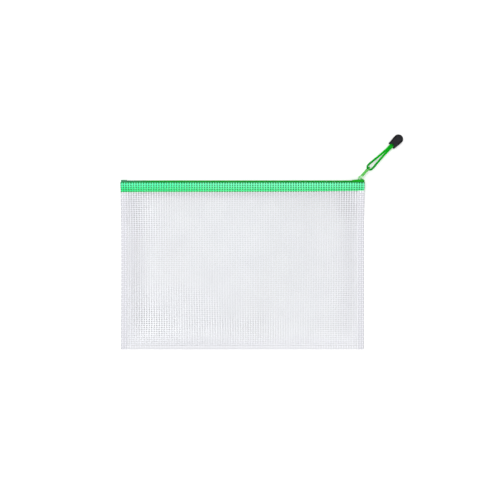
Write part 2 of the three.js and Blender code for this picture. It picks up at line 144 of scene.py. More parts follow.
def zigzag(wire, half):  # climbs from 0 to 1 and falls again, over and over
    return wire.maths("PINGPONG", half) / half


def distance(x, y, place):  # how far a shader's point lies from a place, seen from above
    across, up = x - place[0], y - place[1]
    return (across * across + up * up).maths("SQRT")


def unit(vectors, shortest=1e-12):
    return vectors / np.maximum(np.linalg.norm(vectors, axis=-1, keepdims=True), shortest)


def squared(wave, power):  # a sine or cosine that makes an oval squarer, where power is below 1
    return np.sign(wave) * abs(wave) ** power


def waves(x, y, parts, phase=1):  # plane waves, each (height, radians per metre of x, of y, start)
    return sum(height * np.sin(x * a + y * b + start * phase) for height, a, b, start in parts)


def volumeOf(points, faces):  # below 0 where the faces look inwards
    total = 0.0
    bySize = {}
    for face in faces:
        bySize.setdefault(len(face), []).append(face)
    for size, group in bySize.items():
        corners = points[np.array(group)]
        for k in range(1, size - 1):
            total += np.einsum("ij,ij->", corners[:, 0], np.cross(corners[:, k], corners[:, k + 1]))
    return total


def outwards(points, faces):
    return [face[::-1] for face in faces] if volumeOf(points, faces) < 0 else faces


def joined(parts):  # several closed shapes as one
    points, faces = [], []
    for partPoints, partFaces in parts:
        start = sum(len(p) for p in points)
        points.append(partPoints)
        faces += [[i + start for i in face] for face in outwards(partPoints, partFaces)]
    return np.vstack(points), faces


def newObject(name, data):
    made = bpy.data.objects.new(name, data)
    bpy.context.scene.collection.objects.link(made)
    return made


def addMesh(name, points, faces, shader, body, slot):
    points = np.asarray(points, float).reshape(-1, 3)
    mesh = bpy.data.meshes.new(name)
    mesh.from_pydata(points.tolist(), [], outwards(points, faces))
    mesh.update()
    mesh.materials.append(shader.material)
    mesh.shade_smooth()
    piece = newObject(name, mesh)
    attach(piece, body)
    return piece


def wallFaces(rows, columns, start=0):  # quads between rings that close on themselves
    i, j = np.meshgrid(np.arange(rows - 1), np.arange(columns), indexing="ij")
    k = (j + 1) % columns
    here, ahead = i * columns, (i + 1) * columns
    return (np.stack([here + j, here + k, ahead + k, ahead + j], -1).reshape(-1, 4) + start).tolist()


def capFaces(first, last, sides):  # one face over each end ring
    return [list(range(first + sides - 1, first - 1, -1)), list(range(last, last + sides))]


def stripFaces(start, count):  # quads over a flat ring whose second half runs back beside its first
    last = start + count - 1
    return [[start + j, start + j + 1, last - j - 1, last - j] for j in range(count // 2 - 1)]


def plugFaces(rings):  # the walls between rings, and one face over each end
    rows, sides = rings.shape[:2]
    return wallFaces(rows, sides) + capFaces(0, (rows - 1) * sides, sides)


def slabFaces(rings):  # the walls between flat rings, and strips over both ends
    rows, count = rings.shape[:2]
    first = [face[::-1] for face in stripFaces(0, count)]
    return wallFaces(rows, count) + first + stripFaces((rows - 1) * count, count)


def tubes(paths, section, towards, closed=False):
    # paths is (count, steps, 3), section holds (side, up) offsets, towards is roughly the up direction
    paths = np.asarray(paths, float)
    if closed:
        along = np.roll(paths, -1, 1) - np.roll(paths, 1, 1)
    else:
        along = np.gradient(paths, axis=1)
    along = unit(along)
    side = unit(np.cross(along, np.broadcast_to(towards, paths.shape)))
    up = np.cross(side, along)
    rings = paths[:, :, None] + side[:, :, None] * section[:, :1] + up[:, :, None] * section[:, 1:]
    count, steps, sides = rings.shape[:3]
    faces = []
    for one in range(count):
        start = one * steps * sides
        last = start + (steps - 1) * sides
        faces += wallFaces(steps, sides, start)
        if closed:
            for j in range(sides):
                k = (j + 1) % sides
                faces.append([last + j, last + k, start + k, start + j])
        else:
            faces += capFaces(start, last, sides)
    return rings.reshape(-1, 3), faces


def oval(width, height, sides):
    turn = 2 * np.pi * (np.arange(sides) + 0.5) / sides
    return np.stack([width / 2 * np.cos(turn), height / 2 * np.sin(turn)], -1)


# the photo's frame, in the plane at the height "level"
view = {"middle": (10.4 * mm, 21.2 * mm), "across": 698.5 * mm, "lens": 85, "sensor": 36, "level": 4 * mm}

cameraData = bpy.data.cameras.new("camera")
cameraData.lens, cameraData.sensor_width = view["lens"], view["sensor"]
camera = newObject("camera", cameraData)
camera.location = (*view["middle"], view["level"] + view["across"] * view["lens"] / view["sensor"])
bpy.context.scene.camera = camera
bpy.context.scene.view_settings.view_transform = "Standard"

# the floor, the light round it and two lamps
studio = {
    "floor": 3.0, "paper": (0.92, 0.92, 0.922), "dull": 0.995, "grain": 900, "rough": 0.9,
    "relief": (0.02 * mm, 0.3), "sky": 0.89, "lamp": 24.0, "lampSize": 2.0,
    "keyLamp": ((-0.7, 0.5, 1.7), 1.0), "fillLamp": ((0.9, -0.6, 1.5), 0.45),  # place and share of the power
    "gain": 1.6,  # how bright a white that lies flat shows in this light
}


def seen(red, green, blue, shade=1.0):  # the base colour that shows as this screen colour in this light
    def one(value):  # from the screen's sRGB curve back to light
        share = value / 255
        light = share / 12.92 if share <= 0.04045 else ((share + 0.055) / 1.055) ** 2.4
        return light / studio["gain"] / shade
    return one(red), one(green), one(blue)


paper = Shader("studioPaper")
grain = paper.noise(paper.place()[0], studio["grain"], detail=3)
dull = [c * studio["dull"] for c in studio["paper"]]
paper.coat(paper.tint(grain, dull, studio["paper"]), studio["rough"], paper.bump(grain, *studio["relief"]))
half = studio["floor"]
corners = [(-half, -half, 0), (half, -half, 0), (half, half, 0), (-half, half, 0)]
floorMesh = bpy.data.meshes.new("floor")
floorMesh.from_pydata(corners, [], [(0, 1, 2, 3)])
floorMesh.materials.append(paper.material)
newObject("floor", floorMesh)

world = bpy.data.worlds.new("studio")
world.use_nodes = True
background = world.node_tree.nodes["Background"].inputs
background["Color"].default_value = (1, 1, 1, 1)
background["Strength"].default_value = studio["sky"]
bpy.context.scene.world = world

for name in ("keyLamp", "fillLamp"):
    place, share = studio[name]
    lampData = bpy.data.lights.new(name, "AREA")
    lampData.energy, lampData.size = studio["lamp"] * share, studio["lampSize"]
    lamp = newObject(name, lampData)
    lamp.location = place
    lamp.rotation_euler = (-Vector(place)).to_track_quat("-Z", "Y").to_euler()
print("camera, floor and light ready")


# the braided cord, a loop through the tab's eye
cord = {
    "diameter": 2.8 * mm, "turn": 9.6 * mm, "carriers": 8, "crossSteps": 2, "weave": 0.09 * mm,
    "strandWidth": 0.96 * mm, "strandHeight": 0.52 * mm, "strandSides": 6,
    "core": 2.6 * mm, "coreSides": 10, "coreEvery": 4, "spanSteps": 24, "routePoints": 120,
    "loft": 0.2 * mm, "snug": (3 * mm, 8 * mm),  # the strands lie closer to the core at the tab's eye
    "fresh": seen(14, 224, 22), "deep": seen(2, 166, 30), "shaded": seen(4, 168, 44),
    "mouthShade": seen(12, 84, 30), "leastFresh": 0.55, "nearEye": (6 * mm, 30 * mm),
    "mouth": (45.2 * mm, 49.6 * mm), "fibre": 2600, "patch": 160, "strandFibrePatch": (0.45, 0.35, 0.4),
    "tintReach": (0.3, 0.85), "rough": (0.55, 0.8), "relief": (0.06 * mm, 0.7),
}
# where the tab, the cord and the grip lie, from the bail's middle on
pull = {
    "bail": (163.9 * mm, 122.0 * mm, 5.5 * mm), "angle": math.radians(47.5), "reach": 17.2 * mm,
    "turn": math.radians(3), "gripStart": 44.9 * mm, "gripLength": 20.8 * mm, "gripThickness": 7.4 * mm,
    "floorGap": 0.15 * mm,
}
gripDrop = pull["bail"][2] - pull["gripThickness"] / 2 - pull["floorGap"]
pull["sag"] = math.asin(gripDrop / (pull["gripStart"] + pull["gripLength"]))
# one side of the loop, (along, aside) in metres from the tab's eye
loopRoute = [
    (0, 0), (0.0003, 0.002), (0.0019, 0.00345), (0.005, 0.0038), (0.0095, 0.0035), (0.014, 0.00305),
    (0.019, 0.0026), (0.024, 0.00215), (0.03, 0.0017), (0.036, 0.0015), (0.043, 0.0015), (0.0496, 0.0015),
]


def pulled(points):  # from (along, aside, up) at the tab's eye to the frame
    p = np.asarray(points, float)
    c, s = math.cos(pull["turn"]), math.sin(pull["turn"])
    ahead, aside = p[..., 0] * c + p[..., 1] * s, p[..., 1] * c - p[..., 0] * s
    c, s = math.cos(pull["sag"]), math.sin(pull["sag"])
    along, up = pull["reach"] + ahead * c + p[..., 2] * s, p[..., 2] * c - ahead * s
    c, s = math.cos(pull["angle"]), math.sin(pull["angle"])
    bail = pull["bail"]
    return np.stack([bail[0] + along * c - aside * s, bail[1] + along * s + aside * c, bail[2] + up], -1)


def throughPoints(points, steps):  # an even walk along a smooth curve through points, and its length
    p = np.asarray(points, float)
    ends = np.vstack([2 * p[0] - p[1], p, 2 * p[-1] - p[-2]])
    fine = []
    for i in range(1, len(ends) - 2):
        a, b, c, d = ends[i - 1:i + 3]
        ta = 0.0  # each knot follows by the root of the step's length
        tb = ta + np.linalg.norm(b - a) ** 0.5
        tc = tb + np.linalg.norm(c - b) ** 0.5
        td = tc + np.linalg.norm(d - c) ** 0.5
        for t in np.linspace(tb, tc, cord["spanSteps"], endpoint=False):
            ab = (tb - t) / (tb - ta) * a + (t - ta) / (tb - ta) * b
            bc = (tc - t) / (tc - tb) * b + (t - tb) / (tc - tb) * c
            cd = (td - t) / (td - tc) * c + (t - tc) / (td - tc) * d
            ac = (tc - t) / (tc - ta) * ab + (t - ta) / (tc - ta) * bc
            bd = (td - t) / (td - tb) * bc + (t - tb) / (td - tb) * cd
            fine.append((tc - t) / (tc - tb) * ac + (t - tb) / (tc - tb) * bd)
    fine = np.array(fine + [p[-1]])
    walk = np.concatenate([[0], np.cumsum(np.linalg.norm(np.diff(fine, axis=0), axis=1))])
    even = np.linspace(0, walk[-1], steps)
    return np.stack([np.interp(even, walk, fine[:, k]) for k in range(3)], -1), walk[-1]


def braidShader():
    s = Shader("braidedCord", Specular_IOR_Level=0.04, Sheen_Weight=0.02, Sheen_Roughness=0.5)
    spot, x, y, _ = s.place()
    strand = s.node("NewGeometry")["Random Per Island"]
    fibre = s.noise(spot, cord["fibre"], detail=3, roughness=0.6)
    patch = s.noise(spot, cord["patch"])
    blotch = s.ramp(blend(cord["strandFibrePatch"], strand, fibre, patch), *cord["tintReach"])
    away = distance(x, y, pulled([(0, 0, 0)])[0])
    fresh = s.tint(s.ramp(away, *cord["nearEye"]), cord["shaded"], s.tint(blotch, cord["deep"], cord["fresh"]))
    paint = s.tint(mix(cord["leastFresh"], 1, blotch), cord["deep"], fresh)
    # inside the grip's mouth the cord takes a painted shade
    paint = s.tint(s.ramp(away, *cord["mouth"]), paint, cord["mouthShade"])
    s.coat(paint, mix(*cord["rough"], fibre), s.bump(fibre, *cord["relief"]))
    return s


cordRoute = pulled([(a, -b, 0) for a, b in loopRoute[:0:-1]] + [(a, b, 0) for a, b in loopRoute])
coarsePath, cordLength = throughPoints(cordRoute, cord["routePoints"])
turns = cordLength / cord["turn"]
cordSteps = int(turns * 2 * cord["carriers"] * cord["crossSteps"]) + 1
cordPath = throughPoints(cordRoute, cordSteps)[0]
cordUp = unit(pulled([(0, 0, 1)])[0] - pulled([(0, 0, 0)])[0])
aside = unit(np.cross(unit(np.gradient(cordPath, axis=0)), cordUp))
sweep = 2 * np.pi * np.linspace(0, cordLength, cordSteps) / cord["turn"]
fromEye = abs(np.linspace(-cordLength / 2, cordLength / 2, cordSteps))
snugStart, snugEnd = cord["snug"]
loft = cord["loft"] * smooth((fromEye - snugStart) / (snugEnd - snugStart))
middle = cord["diameter"] / 2 - cord["strandHeight"] / 2 - cord["weave"] + loft
strands, strandUps = [], []
for way in (1, -1):
    for k in range(cord["carriers"]):
        angle = way * sweep + 2 * np.pi * k / cord["carriers"]
        lift = way * cord["weave"] * np.cos(cord["carriers"] * sweep)
        out = aside * np.cos(angle)[:, None] + cordUp * np.sin(angle)[:, None]
        strands.append(cordPath + out * (middle + lift)[:, None])
        strandUps.append(out)
braid = braidShader()
strandOval = oval(cord["strandWidth"], cord["strandHeight"], cord["strandSides"])
coreOval = oval(cord["core"], cord["core"], cord["coreSides"])
pullCord = addMesh("braided_cord", *joined([
    tubes(strands, strandOval, np.array(strandUps)),
    tubes([cordPath[::cord["coreEvery"]]], coreOval, cordUp),
]), braid, "cord_pull", "cord")
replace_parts(pullCord, "pull_cord")
print(f"cord ready, {cordLength / mm:.1f} mm")


# the tied knot, hidden in the grip
knot = {
    "middle": 53.0 * mm, "length": 6.4 * mm, "width": 7.8 * mm, "height": 4.0 * mm, "cord": 2.3 * mm,
    "steps": 96, "sides": 12, "trefoil": (2.76, 3.0, 1.0),  # how far the plain trefoil reaches each way
}
turn = np.linspace(0, 2 * np.pi, knot["steps"], endpoint=False)
trefoil = (np.sin(turn) + 2 * np.sin(2 * turn), np.cos(turn) - 2 * np.cos(2 * turn), -np.sin(3 * turn))
room = np.array([knot["length"], knot["width"], knot["height"]]) - knot["cord"]
bend = np.stack(trefoil, -1) / np.array(knot["trefoil"]) * room / 2 + np.array([knot["middle"], 0, 0])
knotTube = tubes([pulled(bend)], oval(knot["cord"], knot["cord"], knot["sides"]), cordUp, closed=True)
cordKnot = addMesh("tied_knot", *knotTube, braid, "cord_pull", "cord")
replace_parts(cordKnot, "cord_knot")

# the moulded grip, a hollow rounded paddle
grip = {
    "mouth": 11.2 * mm, "width": 13.2 * mm, "lip": 0.9 * mm, "waist": 0.25 * mm, "squareness": 0.7,
    "cavityWidth": 8.4 * mm, "cavityHeight": 4.6 * mm, "cavityDepth": 11.6 * mm, "cavityEdge": 0.6 * mm,
    "taper": 0.6, "floorShare": 0.8, "tip": 0.02, "flare": 0.5 * mm, "domeEnd": 0.985,
    "throat": 1.2, "innerLip": 0.7,  # in lips
    "scoop": 4.4 * mm, "scoopHalf": 2.4 * mm, "scoopReach": 10 * mm,
    "sides": 56, "innerSteps": 4, "outerSteps": 6, "sideSteps": 12, "domeSteps": 14,
    "top": seen(40, 40, 44), "blotch": seen(56, 56, 61), "side": seen(2, 2, 4), "sideShade": (0.26, 0.44),
    "grain": 5200, "patch": 260, "tintReach": (0.45, 0.75), "blotchMost": 0.5,
    "rough": (0.5, 0.64), "relief": (0.03 * mm, 0.6),
}


def gripShader():
    s = Shader("mouldedRubber", Specular_IOR_Level=0.06)
    spot, x, y, _ = s.place()
    grain = s.noise(spot, grip["grain"])
    patch = s.noise(spot, grip["patch"], detail=3)
    eye = pulled([(0, 0, 0)])[0]
    heading = pull["angle"] - pull["turn"]
    fromMiddle = ((y - eye[1]) * math.cos(heading) - (x - eye[0]) * math.sin(heading)).maths("ABSOLUTE")
    # the grip's sides are painted darker than its middle, a painted shade, and its middle carries the painted
    # light from above
    sideShade = s.ramp(fromMiddle, *(share * grip["width"] for share in grip["sideShade"]))
    # lighter patches at random over the grip's middle
    top = s.tint(s.ramp(patch, *grip["tintReach"]) * grip["blotchMost"], grip["top"], grip["blotch"])
    s.coat(s.tint(sideShade, top, grip["side"]), mix(*grip["rough"], patch), s.bump(grain, *grip["relief"]))
    return s


def ovalRing(along, width, height):  # drawn back where the mouth is scooped out for the cord
    turn = 2 * np.pi * np.arange(grip["sides"]) / grip["sides"]
    c, s = squared(np.cos(turn), grip["squareness"]), squared(np.sin(turn), grip["squareness"])
    share = max(0, 1 - along / grip["scoopReach"])
    scoop = grip["scoop"] * np.exp(-(width * c / grip["scoopHalf"]) ** 2) * share
    return np.stack([pull["gripStart"] + along + scoop, width * c, height * s], -1)


def gripRings():  # from the hollow's floor out through the mouth and round to the closed end
    lip, thick = grip["lip"], pull["gripThickness"] / 2
    mouth, wide = grip["mouth"] / 2, grip["width"] / 2
    domeStart = pull["gripLength"] - wide
    deep, inner = grip["cavityDepth"], np.array([grip["cavityWidth"], grip["cavityHeight"]]) / 2
    rings = [(deep, *inner * grip["tip"]), (deep, *inner * grip["floorShare"])]
    rings += [(deep - grip["cavityEdge"], *inner), (lip * grip["throat"], *inner)]
    for t in np.linspace(0, 1, grip["innerSteps"]):  # rounded inner edge of the mouth
        inwards = lip * grip["innerLip"] * (1 - math.sin(t * math.pi / 2))
        rings.append((inwards, *(inner + grip["flare"] * t)))
    for t in np.linspace(0, 1, grip["outerSteps"]):  # rounded outer edge
        turn = t * math.pi / 2
        shrink = lip * (1 - math.sin(turn))
        rings.append((lip * (1 - math.cos(turn)), mouth - shrink, thick - shrink))
    for t in np.linspace(0, 1, grip["sideSteps"])[1:]:
        dip = grip["waist"] * math.sin(math.pi * t) ** 2
        rings.append((mix(lip, domeStart, t), mix(mouth, wide, float(smooth(t))), thick - dip))
    for t in np.linspace(0, grip["domeEnd"], grip["domeSteps"])[1:]:
        turn = t * math.pi / 2
        dome = math.cos(turn)
        rings.append((domeStart + wide * math.sin(turn), wide * dome, thick * dome ** grip["taper"]))
    return np.array([ovalRing(*ring) for ring in rings])


rings = gripRings()
cordGrip = addMesh("moulded_grip", pulled(rings), plugFaces(rings), gripShader(), "cord_pull", "grip")
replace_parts(cordGrip, "cord_grip")
print("knot and grip ready")


# the pouch's shape, shared by the films, the scrim and the tapes
pouch = {
    "halfWidth": 170 * mm, "bottom": -118 * mm, "sheet": 0.45 * mm, "sideWeld": 8 * mm, "bottomWeld": 5 * mm,
    "weldGap": 0.1 * mm, "sideFlare": 38 * mm, "cornerRise": 60 * mm, "climbShare": 0.85, "hemLead": 9 * mm,
    "hemThick": 1 * mm, "cornerGrip": 0.8 * mm, "bellyShare": 0.5, "bellyReach": 0.35, "slopePower": 1.6,
    "tape": 0.6 * mm, "seat": 0.15 * mm, "sheetHalfGap": 5.05 * mm, "zip": 5.5 * mm, "plain": 113.05 * mm,
    "sheetTop": 115.05 * mm, "tapeTop": 115.65 * mm, "hem": 101.45 * mm, "hemEdge": 0.3 * mm,
    "hemRise": (0.35 * mm, 0.1 * mm, 2.3 * mm), "drawnIn": 0.35 * mm,
    "sway": 0.22 * mm, "swaySeam": 60 * mm, "swayHem": 40 * mm,
    "swayWaves": ((1, 41, 17, 0.6), (0.7, -23, 47, 2.1), (0.5, 83, 31, 0)),
}
seamInside = pouch["halfWidth"] - pouch["sideWeld"]
seamTop = pouch["bottom"] + pouch["bottomWeld"]
flatHalfGap = pouch["weldGap"] / 2


def openness(x):
    return smooth((seamInside - abs(x)) / pouch["sideFlare"])


def seamHeight(y):
    rise = smooth((y - pouch["plain"] + pouch["cornerRise"]) / (pouch["cornerRise"] * pouch["climbShare"]))
    return mix(pouch["sheet"] + flatHalfGap, pouch["zip"], rise)


def seamHalfGap(y):
    overTape = smooth((y - pouch["hem"] + pouch["hemLead"]) / (pouch["hemLead"] - pouch["hemThick"]))
    start = pouch["hem"] + pouch["cornerGrip"]
    overZip = smooth((y - start) / (pouch["plain"] - start))
    pinched = flatHalfGap + pouch["tape"] + pouch["seat"]
    return mix(mix(flatHalfGap, pinched, overTape), pouch["sheetHalfGap"], overZip)


def bellyHeight(y):
    share = np.clip((y - seamTop) / (pouch["hem"] - seamTop), 0, 1)
    rise = pouch["bellyShare"] * smooth(share / pouch["bellyReach"])
    rise = rise + (1 - pouch["bellyShare"]) * share ** pouch["slopePower"]
    return mix(pouch["sheet"] + pouch["weldGap"], pouch["zip"] + pouch["sheetHalfGap"], rise)


def sway(x, y):  # low waves of the loose film, none at its seams and tapes
    free = smooth((seamInside - abs(x)) / pouch["swaySeam"]) * smooth((y - seamTop) / pouch["swaySeam"])
    free = free * smooth((pouch["hem"] - y) / pouch["swayHem"])
    return pouch["sway"] * free * waves(x, y, pouch["swayWaves"])


def frontInside(x, y):
    return mix(seamHeight(y) + seamHalfGap(y), bellyHeight(y), openness(x)) + sway(x, y)


def backInside(x, y):
    return mix(seamHeight(y) - seamHalfGap(y), pouch["sheet"], openness(x))


def frontMiddle(x, y):
    return frontInside(x, y) + pouch["sheet"] / 2


def backMiddle(x, y):
    return backInside(x, y) - pouch["sheet"] / 2


def drawn(x, y):  # x with the left edge drawn in a little between the corners
    share = np.clip((y - pouch["bottom"]) / (pouch["hem"] - pouch["bottom"]), 0, 1)
    return x + pouch["drawnIn"] * np.sin(math.pi * share) ** 2 * np.clip(-x / pouch["halfWidth"], 0, 1) ** 2


def hemRise(x):  # the tapes' hem climbs to the right; x is a number or a wire
    start, slope, curl = pouch["hemRise"]
    share = (x + pouch["halfWidth"]) / (2 * pouch["halfWidth"])
    square = share * share
    return start + share * slope + square * square * curl


def overTapes(s, x, y):  # 1 where the tapes lie behind the sheet
    return s.ramp(y - hemRise(x), pouch["hem"] - pouch["hemEdge"], pouch["hem"] + pouch["hemEdge"])


# the clear film of both sheets, with its welds along the sides and the bottom
film = {
    "thickness": 0.26 * mm, "halfSteps": 37, "weldSteps": 6, "upSteps": 84, "leadSteps": 26,
    "clear": (0.8, 0.81, 0.84), "milky": (0.86, 0.87, 0.89), "alpha": 0.055, "overTape": 0.03,
    "sideWeld": (0.555, 0.555, 0.595), "bottomWeld": (0.63, 0.635, 0.66), "weldAlpha": 0.7,
    "weldEdge": 0.4 * mm, "rib": 1.1 * mm, "cloud": 22, "milkyReach": (0.35, 0.7), "fine": 420,
    "rough": (0.28, 0.42), "relief": (0.06 * mm, 0.6), "fineAndRib": (0.5, 0.6),
}


def filmShader():
    s = Shader("clearFilm", IOR=1.53)
    spot, x, y, _ = s.place()
    cloud = s.noise(spot, film["cloud"], detail=3)
    fine = s.noise(spot, film["fine"], detail=3, roughness=0.6)
    sideWeld, bottomWeld = (
        1 - s.ramp(inside, -film["weldEdge"], film["weldEdge"])
        for inside in (seamInside - x.maths("ABSOLUTE"), y - seamTop)
    )
    weld = sideWeld.maths("MAXIMUM", bottomWeld)
    body = s.tint(s.ramp(cloud, *film["milkyReach"]), film["clear"], film["milky"])
    ribs = [(way * (2 * math.pi / film["rib"])).maths("SINE") for way in (x + y, x - y)]
    overTape = overTapes(s, x, y)
    thinner = overTape * (film["alpha"] - film["overTape"])
    s.coat(
        s.tint(weld, body, s.tint(sideWeld, film["bottomWeld"], film["sideWeld"])),
        mix(*film["rough"], fine),
        s.bump(blend(film["fineAndRib"], fine, ribs[0] * ribs[1] * weld), *film["relief"]),
        Alpha=film["alpha"] + weld * (1 - overTape) * film["weldAlpha"] - thinner,
    )
    return s


def filmGrid():
    flat = seamInside - pouch["sideFlare"]
    half = np.concatenate([
        np.linspace(0, flat, film["halfSteps"], endpoint=False),
        np.linspace(flat, seamInside, film["halfSteps"], endpoint=False),
        np.linspace(seamInside, pouch["halfWidth"], film["weldSteps"]),
    ])
    lead = pouch["hem"] - pouch["hemLead"]
    ys = np.concatenate([
        np.linspace(pouch["bottom"], lead, film["upSteps"], endpoint=False),
        np.linspace(lead, pouch["sheetTop"], film["leadSteps"]),
    ])
    return np.meshgrid(np.concatenate([-half[:0:-1], half]), ys, indexing="ij")


def sheetMesh(name, middle, shader):
    x, y = filmGrid()
    z = middle(x, y)
    half = film["thickness"] / 2
    top = np.stack([drawn(x, y), y, z + half], -1)
    under = np.stack([drawn(x, y), y, z - half], -1)
    rings = np.concatenate([top, under[:, ::-1]], 1)
    return addMesh(name, rings, slabFaces(rings), shader, "pouch", "film")


clearFilm = filmShader()
frontFilm = sheetMesh("front_film", frontMiddle, clearFilm)
backFilm = sheetMesh("back_film", backMiddle, clearFilm)
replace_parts(frontFilm, "front_sheet")
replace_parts(backFilm, "back_sheet")
print("film ready")


# the scrim, warp and weft yarns inside each sheet
scrim = {
    "warps": 96, "firstWarp": -167.6 * mm, "warpPitch": 3.533 * mm, "wefts": 83, "topWeft": 112.76 * mm,
    "warpWidth": 1.2 * mm, "weftWidth": 0.95 * mm, "thickness": 0.3 * mm, "sides": 6, "weave": 0.07 * mm,
    "edge": 0.9 * mm, "wander": 0.35 * mm, "wanderEdge": 25 * mm, "wanderTop": 40 * mm,
    "wanderX": ((1, 31, -13, 1), (0.6, 12, 55, 2)), "wanderY": ((1, 17, 29, 3), (0.6, 47, -9, 1)),
    "phase": {"front": 0.4, "back": 2.3}, "shift": {"front": (0, 0), "back": (1.1 * mm, 0.7 * mm)},
    "shiftEdge": 12 * mm, "white": (0.815, 0.825, 0.85), "shade": (0.76, 0.77, 0.8),
    "warpHemLight": (0.83, 0.835, 0.87), "weftHemShade": (0.655, 0.655, 0.69), "hemShadeReach": 13 * mm,
    "flat": (0.67, 0.675, 0.71), "seamShadeRight": (0.71, 0.715, 0.75), "seamShadeReach": (38 * mm, 20 * mm),
    "seamShadeTurn": (-100 * mm, 100 * mm), "bandTurn": (101 * mm, 114 * mm), "bandLightReach": (-110 * mm, -10 * mm),
    "tapeHem": (seen(22, 228, 124, 0.66), seen(52, 234, 136, 0.66)),
    "overTape": (seen(78, 255, 184, 0.655), seen(110, 255, 194, 0.655)),
    "streak": 700, "cloud": 30, "streakAndCloud": (0.6, 0.4), "whiteReach": (0.35, 0.65),
    "rough": (0.38, 0.58), "relief": (0.05 * mm, 0.5),
}


def yarnShader(name, hemLighting):
    s = Shader(name, Specular_IOR_Level=0.3, IOR=1.5)
    spot, x, y, _ = s.place()
    streak = s.noise(spot, scrim["streak"], detail=3)
    cloud = s.noise(spot, scrim["cloud"])
    white = s.ramp(blend(scrim["streakAndCloud"], streak, cloud), *scrim["whiteReach"])
    body = s.tint(white, scrim["shade"], scrim["white"])
    # near the side and bottom welds the yarns take a painted shade, a little darker on the left than on the
    # right
    nearSide = 1 - s.ramp(seamInside - x.maths("ABSOLUTE"), 0, scrim["seamShadeReach"][0])
    nearBottom = 1 - s.ramp(y - seamTop, 0, scrim["seamShadeReach"][1])
    flat = s.tint(s.ramp(x, *scrim["seamShadeTurn"]), scrim["flat"], scrim["seamShadeRight"])
    body = s.tint(nearSide.maths("MAXIMUM", nearBottom), body, flat)
    # near the hem the wefts and back yarns take a painted shade and the front warps a little painted light, for
    # the shade inside the pouch's thick top
    body = s.tint(s.ramp(y, pouch["hem"] - scrim["hemShadeReach"], pouch["hem"]), body, hemLighting)
    # over the tapes the yarns take the tape's green, painted lighter towards the right as painted light, and
    # darker near the hem than higher up
    litToRight = s.ramp(x, *scrim["bandLightReach"])
    low, high = s.tint(litToRight, *scrim["tapeHem"]), s.tint(litToRight, *scrim["overTape"])
    band = s.tint(s.ramp(y, *scrim["bandTurn"]), low, high)
    paint = s.tint(overTapes(s, x, y), body, band)
    s.coat(paint, mix(*scrim["rough"], streak), s.bump(streak, *scrim["relief"]))
    return s


def wander(x, y, phase):  # how far the scrim strays from a true grid, none at the edges
    free = smooth((pouch["halfWidth"] - abs(x)) / scrim["wanderEdge"])
    free = free * smooth((y - pouch["bottom"]) / scrim["wanderEdge"])
    free = free * smooth((pouch["sheetTop"] - y) / scrim["wanderTop"]) * scrim["wander"]
    return free * waves(x, y, scrim["wanderX"], phase), free * waves(x, y, scrim["wanderY"], phase)


def scrimYarns(side, middle):
    xs = scrim["firstWarp"] + scrim["warpPitch"] * np.arange(scrim["warps"])
    ys = np.linspace(pouch["bottom"] + scrim["edge"], scrim["topWeft"], scrim["wefts"])
    x, y = np.meshgrid(xs, ys, indexing="ij")
    dx, dy = wander(x, y, scrim["phase"][side])
    shift = scrim["shift"][side]
    free = smooth((pouch["halfWidth"] - abs(x)) / scrim["shiftEdge"])
    freeTop = smooth((pouch["sheetTop"] - y) / scrim["shiftEdge"])
    x, y = x + dx + shift[0] * free, y + dy + shift[1] * freeTop * free
    i, j = np.meshgrid(np.arange(len(xs)), np.arange(len(ys)), indexing="ij")
    over = np.where((i + j) % 2 == 0, 1.0, -1.0) * scrim["weave"]
    made = []
    for name, lift, width, axis, low, high in (
        ("warp", over, scrim["warpWidth"], 1, pouch["bottom"], pouch["sheetTop"]),
        ("weft", -over, scrim["weftWidth"], 0, -pouch["halfWidth"], pouch["halfWidth"]),
    ):
        paths = np.stack([x, y, middle(x, y) + lift], -1)
        if name == "weft":
            paths = paths.transpose(1, 0, 2)
        first, final = paths[:, :1].copy(), paths[:, -1:].copy()
        first[..., axis], final[..., axis] = low, high
        paths = np.concatenate([first, paths, final], 1)
        paths[..., 0] = drawn(paths[..., 0], paths[..., 1])
        tube = tubes(paths, oval(width, scrim["thickness"], scrim["sides"]), (0, 0, 1))
        yarn = warpYarn if (side, name) == ("front", "warp") else weftYarn
        made.append(addMesh(f"{side}_{name}_yarns", *tube, yarn, "pouch", "film"))
    return made


warpYarn = yarnShader("warpYarn", scrim["warpHemLight"])
weftYarn = yarnShader("weftYarn", scrim["weftHemShade"])
frontYarns = scrimYarns("front", frontMiddle)
backYarns = scrimYarns("back", backMiddle)
print("scrim ready")


# the woven tapes, folded over the chain and hanging behind the sheets
tape = {
    "thickness": 0.56 * mm, "halfWidth": 4.9 * mm, "edge": 0.85 * mm, "fold": 0.9 * mm, "endInset": 0.05 * mm,
    "endTop": 0.5 * mm, "along": 181, "topSteps": 5, "foldSteps": 8, "hangSteps": 22,
    "bright": seen(10, 160, 74, 0.74), "deep": seen(3, 116, 46, 0.74), "brightReach": (0.25, 0.85),
    "band": 2.4 * mm, "rib": 0.55 * mm, "pick": 0.16 * mm, "fibre": 1800, "cloud": 60,
    "ribFibreCloud": (0.5, 0.3, 0.35), "ribPickFibre": (0.6, 0.25, 0.3),
    "rough": (0.66, 0.86), "relief": (0.09 * mm, 0.8),
}


def tapeShader():
    s = Shader("wovenTape", Specular_IOR_Level=0.15, Sheen_Weight=0.04, Sheen_Roughness=0.4)
    spot, x, y, z = s.place()
    across = y - (z - pouch["zip"]).maths("ABSOLUTE")
    rib = zigzag(x + across.maths("PINGPONG", tape["band"]), tape["rib"] / 2)
    pick = zigzag(across, tape["pick"])
    fibre = s.noise(spot, tape["fibre"], detail=3, roughness=0.6)
    cloud = s.noise(spot, tape["cloud"])
    bright = s.ramp(blend(tape["ribFibreCloud"], rib, fibre, cloud), *tape["brightReach"])
    relief = s.bump(blend(tape["ribPickFibre"], rib, pick, fibre), *tape["relief"])
    s.coat(s.tint(bright, tape["deep"], tape["bright"]), mix(*tape["rough"], fibre), relief)
    return s


